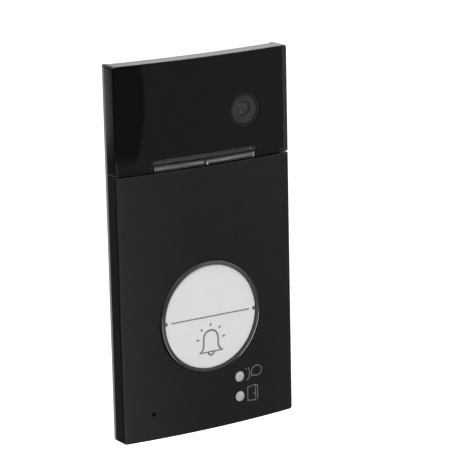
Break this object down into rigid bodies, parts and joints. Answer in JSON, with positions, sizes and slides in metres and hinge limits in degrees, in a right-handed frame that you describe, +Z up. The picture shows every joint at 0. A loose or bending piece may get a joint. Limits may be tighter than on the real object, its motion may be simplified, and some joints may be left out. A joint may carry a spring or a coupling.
{
  "type": "video doorbell",
  "caption": "Slim bowed door-entry panel for a wall: smoked camera cover above a matt metal plate with a large round call button, status windows and a microphone hole.",
  "frame": {"origin": "middle of the wall bracket's screw pattern, on the wall plane; panel centred on it", "axes": "+X to the viewer's right, +Y into the wall (front faces -Y), +Z up"},
  "size_m": [0.0924, 0.0262, 0.1746],
  "materials": {
    "zinc_steel": "zinc plated, satin",
    "foam": "closed-cell foam",
    "black_abs": "fine spark-eroded texture",
    "rubber_black": "matt",
    "black_cast_metal": "fine-grained matt powder coat on die-cast metal",
    "smoked_acrylic": "polished smoked acrylic",
    "clear_acrylic": "clear, ribbed",
    "circuit_board_white": "white solder mask",
    "lamp_chip": "phosphor cap",
    "circuit_board": "green solder mask",
    "chip_black": "moulded epoxy",
    "black_anodised": "black anodised",
    "lens_glass": "coated glass",
    "flat_cable": "polyimide film",
    "ivory_nylon": "moulded",
    "capacitor_can": "drawn can",
    "green_nylon": "moulded",
    "milky_acrylic": "milky, polished front",
    "speaker_dish": "formed film",
    "magnet_steel": "nickel plated",
    "wire_red": "insulated wire",
    "clear_cap": "clear polished polycarbonate",
    "label_white": "satin printed film",
    "gray_abs": "satin moulded",
    "spring_steel": "drawn wire"
  },
  "bodies": {
    "housing": {"wall_bracket": "zinc_steel", "wall_seal": "foam", "rear_cover": "black_abs", "security_screw": "zinc_steel", "housing_seal": "rubber_black", "housing_screws": "zinc_steel", "chassis": "black_abs", "front_plate": "black_cast_metal", "front_plate_screws": "zinc_steel", "smoked_cover": "smoked_acrylic", "cover_screws": "zinc_steel", "light_guide": "clear_acrylic", "led_board": "circuit_board_white", "field_leds": "lamp_chip", "camera_board": "circuit_board", "image_sensor": "chip_black", "lens_holder": "black_abs", "lens_barrel": "black_anodised", "lens_glass": "lens_glass", "camera_collar": "rubber_black", "camera_screws": "zinc_steel", "camera_ribbon": "flat_cable", "ribbon_connectors": "ivory_nylon", "main_pcb": "circuit_board", "pcb_screws": "zinc_steel", "pcb_chips": "chip_black", "pcb_capacitors": "capacitor_can", "terminal_block": "green_nylon", "terminal_screws": "zinc_steel", "switch_bodies": "chip_black", "status_leds": "lamp_chip", "talk_light_pipe": "milky_acrylic", "door_light_pipe": "milky_acrylic", "mic_capsule": "capacitor_can", "mic_boot": "rubber_black", "speaker_basket": "zinc_steel", "speaker_cone": "speaker_dish", "speaker_magnet": "magnet_steel", "speaker_gasket": "foam", "speaker_screws": "zinc_steel", "speaker_leads": "wire_red", "speaker_connector": "ivory_nylon", "return_springs": "spring_steel"},
    "call_button": {"button_cap": "clear_cap", "name_label": "label_white", "button_carrier": "gray_abs"},
    "plunger_left": {"switch_plunger_left": "ivory_nylon"},
    "plunger_right": {"switch_plunger_right": "ivory_nylon"}
  },
  "joints": [
    {"name": "call_button_press", "type": "slide", "parent": "housing", "child": "call_button", "axis": [0, 1, 0], "range_m": [0, 0.0008], "stiffness_N_per_m": 1500, "springref_m": -0.001, "deforming": ["return_springs"]},
    {"name": "plunger_left_press", "type": "slide", "parent": "housing", "child": "plunger_left", "axis": [0, 1, 0], "range_m": [0, 0.0008]},
    {"name": "plunger_right_press", "type": "slide", "parent": "housing", "child": "plunger_right", "axis": [0, 1, 0], "range_m": [0, 0.0008]}
  ],
  "couplings": [
    {"joint": "plunger_left_press", "follows": "call_button_press", "ratio": 1},
    {"joint": "plunger_right_press", "follows": "call_button_press", "ratio": 1}
  ]
}
